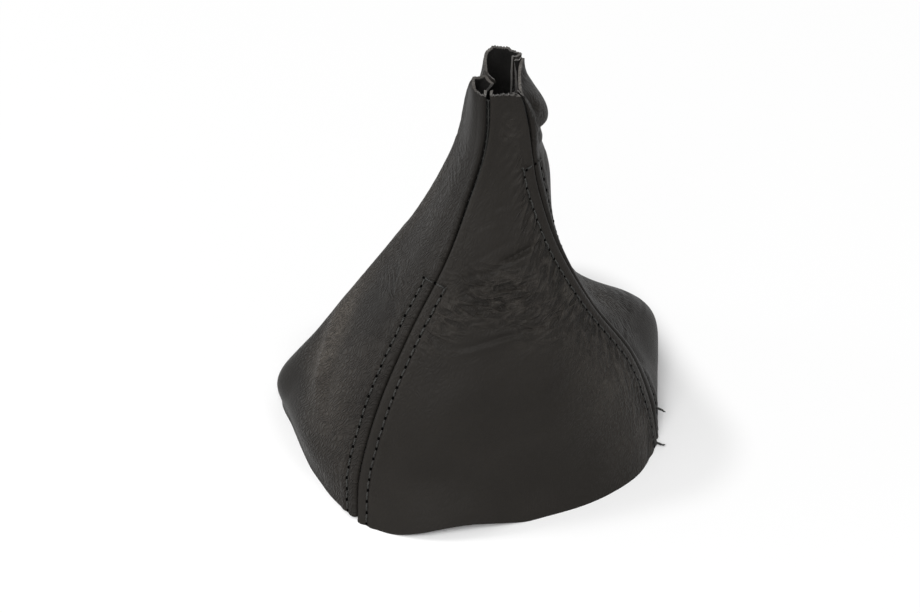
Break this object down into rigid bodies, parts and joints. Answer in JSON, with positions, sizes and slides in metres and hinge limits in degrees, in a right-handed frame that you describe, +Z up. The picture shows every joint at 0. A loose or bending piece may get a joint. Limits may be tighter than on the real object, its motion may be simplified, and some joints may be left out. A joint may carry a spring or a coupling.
{
  "type": "gear lever gaiter",
  "caption": "Sewn leather gaiter that tapers from a wide open hem to a narrow neck and covers the foot of a gear lever.",
  "frame": {"origin": "on the surface that the hem stands on, under the middle of the gaiter's box", "axes": "+Z up through the neck, -Y towards the front panel, +X towards the right panel"},
  "size_m": [0.1654, 0.1428, 0.1701],
  "materials": {
    "leather": "grained charcoal leather, satin, with a raw suede back and raw cut edges",
    "thread": "twisted black sewing thread"
  },
  "bodies": {
    "root": {"front_panel": "leather", "right_panel": "leather", "rear_panel": "leather", "left_panel": "leather", "front_left_topstitch": "thread", "front_left_seam_thread": "thread", "front_right_topstitch": "thread", "front_right_seam_thread": "thread", "rear_right_topstitch": "thread", "rear_right_seam_thread": "thread", "rear_left_topstitch": "thread", "rear_left_seam_thread": "thread"}
  },
  "joints": []
}
